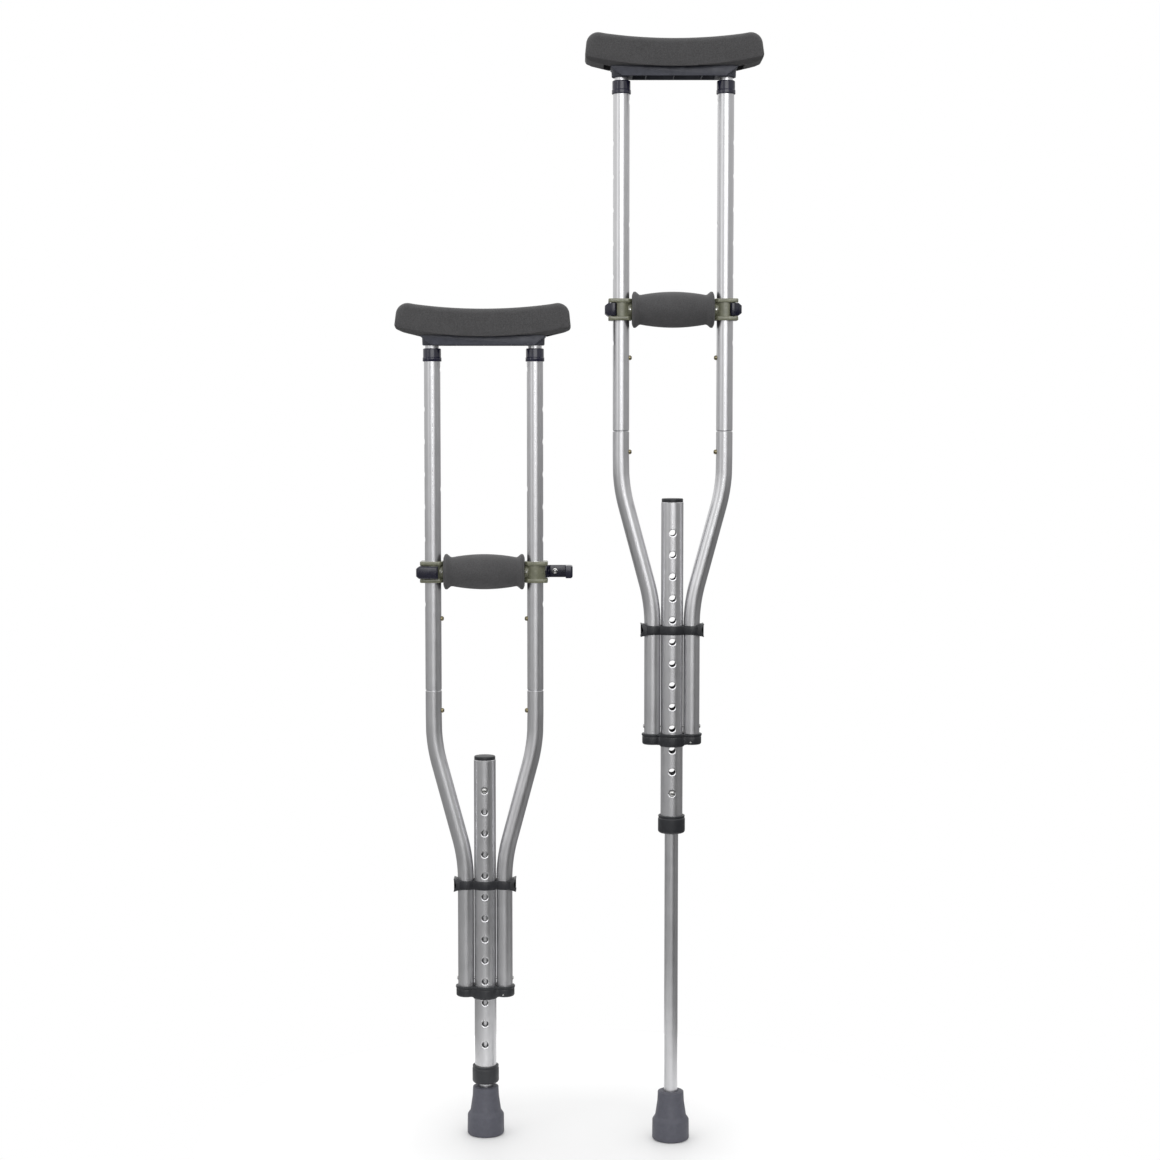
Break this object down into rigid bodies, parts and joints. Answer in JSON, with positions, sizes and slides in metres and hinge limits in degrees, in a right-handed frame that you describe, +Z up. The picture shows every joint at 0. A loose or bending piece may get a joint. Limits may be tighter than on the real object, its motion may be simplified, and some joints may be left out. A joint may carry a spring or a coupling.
{
  "type": "underarm crutches",
  "caption": "Pair of height-adjustable aluminium underarm crutches with foam underarm pads, clip-on foam handgrips, push-button legs and rubber tips.",
  "frame": {"origin": "middle of the tall crutch's handgrip, where a hand holds it", "axes": "+Z up along the crutches; the front, with the leg buttons, faces -Y; X runs along the handgrips, from the short crutch on the -X side to the tall one"},
  "size_m": [0.4241, 0.0695, 1.2894],
  "materials": {
    "aluminium": "satin",
    "steel": "polished",
    "brass": "satin",
    "foam": "matte",
    "grey_plastic": "matte",
    "navy_plastic": "gloss",
    "black_plastic": "satin",
    "lever_plastic": "satin",
    "olive_plastic": "satin",
    "tip_rubber": "matte"
  },
  "bodies": {
    "tall_frame": {"tall_center_tube": "aluminium", "tall_center_plug": "black_plastic", "tall_clamp_band": "black_plastic", "tall_end_bracket": "black_plastic", "tall_leg_collar": "black_plastic", "tall_bow_tube_left": "aluminium", "tall_bow_tube_right": "aluminium", "tall_upper_tube_left": "aluminium", "tall_upper_tube_right": "aluminium", "tall_collar_left": "navy_plastic", "tall_collar_right": "navy_plastic"},
    "tall_rest": {"tall_underarm_pad": "foam", "tall_underarm_bracket": "grey_plastic", "tall_post_left": "aluminium", "tall_post_right": "aluminium"},
    "tall_handgrip": {"tall_grip_foam": "foam", "tall_grip_core": "aluminium", "tall_saddle_left": "olive_plastic", "tall_saddle_right": "olive_plastic", "tall_lever_pin_left": "steel", "tall_lever_pin_right": "steel"},
    "tall_leg": {"tall_leg_tube": "aluminium", "tall_foot_tip": "tip_rubber"},
    "tall_leg_snap": {"tall_leg_button": "steel"},
    "tall_lever_arm_left": {"tall_lever_left": "lever_plastic"},
    "tall_bow_snap_left": {"tall_bow_button_left": "brass"},
    "tall_post_snap_left": {"tall_post_button_left": "brass"},
    "tall_lever_arm_right": {"tall_lever_right": "lever_plastic"},
    "tall_bow_snap_right": {"tall_bow_button_right": "brass"},
    "tall_post_snap_right": {"tall_post_button_right": "brass"},
    "short_frame": {"short_center_tube": "aluminium", "short_center_plug": "black_plastic", "short_clamp_band": "black_plastic", "short_end_bracket": "black_plastic", "short_leg_collar": "black_plastic", "short_bow_tube_left": "aluminium", "short_bow_tube_right": "aluminium", "short_upper_tube_left": "aluminium", "short_upper_tube_right": "aluminium", "short_collar_left": "navy_plastic", "short_collar_right": "navy_plastic"},
    "short_rest": {"short_underarm_pad": "foam", "short_underarm_bracket": "grey_plastic", "short_post_left": "aluminium", "short_post_right": "aluminium"},
    "short_handgrip": {"short_grip_foam": "foam", "short_grip_core": "aluminium", "short_saddle_left": "olive_plastic", "short_saddle_right": "olive_plastic", "short_lever_pin_left": "steel", "short_lever_pin_right": "steel"},
    "short_leg": {"short_leg_tube": "aluminium", "short_foot_tip": "tip_rubber"},
    "short_leg_snap": {"short_leg_button": "steel"},
    "short_lever_arm_left": {"short_lever_left": "lever_plastic"},
    "short_bow_snap_left": {"short_bow_button_left": "brass"},
    "short_post_snap_left": {"short_post_button_left": "brass"},
    "short_lever_arm_right": {"short_lever_right": "lever_plastic"},
    "short_bow_snap_right": {"short_bow_button_right": "brass"},
    "short_post_snap_right": {"short_post_button_right": "brass"}
  },
  "joints": [
    {"name": "tall_rest_slide", "type": "slide", "parent": "tall_frame", "child": "tall_rest", "axis": [0, 0, 1], "range_m": [0, 0.2921], "deforming": ["tall_post_button_left", "tall_post_button_right"]},
    {"name": "tall_handgrip_slide", "type": "slide", "parent": "tall_frame", "child": "tall_handgrip", "axis": [0, 0, 1], "range_m": [-0.0381, 0.1905]},
    {"name": "tall_leg_slide", "type": "slide", "parent": "tall_frame", "child": "tall_leg", "axis": [0, 0, 1], "range_m": [0, 0.3048]},
    {"name": "tall_leg_button_press", "type": "slide", "parent": "tall_leg", "child": "tall_leg_snap", "axis": [0, 1, 0], "range_m": [0, 0.0038], "stiffness_N_per_m": 600, "springref_m": -0.003},
    {"name": "tall_post_button_press_left", "type": "slide", "parent": "tall_rest", "child": "tall_post_snap_left", "axis": [-1, 0, 0], "range_m": [0, 0.0043], "stiffness_N_per_m": 600, "springref_m": -0.003},
    {"name": "tall_bow_button_press_left", "type": "slide", "parent": "tall_frame", "child": "tall_bow_snap_left", "axis": [-1, 0, 0], "range_m": [0, 0.0043], "stiffness_N_per_m": 600, "springref_m": -0.003},
    {"name": "tall_lever_swing_left", "type": "hinge", "parent": "tall_handgrip", "child": "tall_lever_arm_left", "pos_m": [-0.0722, -0.0108, 0], "axis": [0, 0, 1], "range_deg": [0, 90]},
    {"name": "tall_post_button_press_right", "type": "slide", "parent": "tall_rest", "child": "tall_post_snap_right", "axis": [1, 0, 0], "range_m": [0, 0.0043], "stiffness_N_per_m": 600, "springref_m": -0.003},
    {"name": "tall_bow_button_press_right", "type": "slide", "parent": "tall_frame", "child": "tall_bow_snap_right", "axis": [1, 0, 0], "range_m": [0, 0.0043], "stiffness_N_per_m": 600, "springref_m": -0.003},
    {"name": "tall_lever_swing_right", "type": "hinge", "parent": "tall_handgrip", "child": "tall_lever_arm_right", "pos_m": [0.0722, -0.0108, 0], "axis": [0, 0, 1], "range_deg": [-90, 0]},
    {"name": "pair_spread", "type": "slide", "parent": "tall_frame", "child": "short_frame", "axis": [-1, 0, 0], "range_m": [0, 0.3]},
    {"name": "short_rest_slide", "type": "slide", "parent": "short_frame", "child": "short_rest", "axis": [0, 0, 1], "range_m": [0, 0.2921], "deforming": ["short_post_button_left", "short_post_button_right"]},
    {"name": "short_handgrip_slide", "type": "slide", "parent": "short_frame", "child": "short_handgrip", "axis": [0, 0, 1], "range_m": [-0.0381, 0.1905]},
    {"name": "short_leg_slide", "type": "slide", "parent": "short_frame", "child": "short_leg", "axis": [0, 0, -1], "range_m": [0, 0.3048]},
    {"name": "short_leg_button_press", "type": "slide", "parent": "short_leg", "child": "short_leg_snap", "axis": [0, 1, 0], "range_m": [0, 0.0038], "stiffness_N_per_m": 600, "springref_m": -0.003},
    {"name": "short_post_button_press_left", "type": "slide", "parent": "short_rest", "child": "short_post_snap_left", "axis": [-1, 0, 0], "range_m": [0, 0.0043], "stiffness_N_per_m": 600, "springref_m": -0.003},
    {"name": "short_bow_button_press_left", "type": "slide", "parent": "short_frame", "child": "short_bow_snap_left", "axis": [-1, 0, 0], "range_m": [0, 0.0043], "stiffness_N_per_m": 600, "springref_m": -0.003},
    {"name": "short_lever_swing_left", "type": "hinge", "parent": "short_handgrip", "child": "short_lever_arm_left", "pos_m": [-0.2923, 0.0303, -0.3048], "axis": [0, 0, 1], "range_deg": [-90, 0]},
    {"name": "short_post_button_press_right", "type": "slide", "parent": "short_rest", "child": "short_post_snap_right", "axis": [1, 0, 0], "range_m": [0, 0.0043], "stiffness_N_per_m": 600, "springref_m": -0.003},
    {"name": "short_bow_button_press_right", "type": "slide", "parent": "short_frame", "child": "short_bow_snap_right", "axis": [1, 0, 0], "range_m": [0, 0.0043], "stiffness_N_per_m": 600, "springref_m": -0.003},
    {"name": "short_lever_swing_right", "type": "hinge", "parent": "short_handgrip", "child": "short_lever_arm_right", "pos_m": [-0.1479, 0.0303, -0.3048], "axis": [0, 0, 1], "range_deg": [-90, 0]}
  ]
}
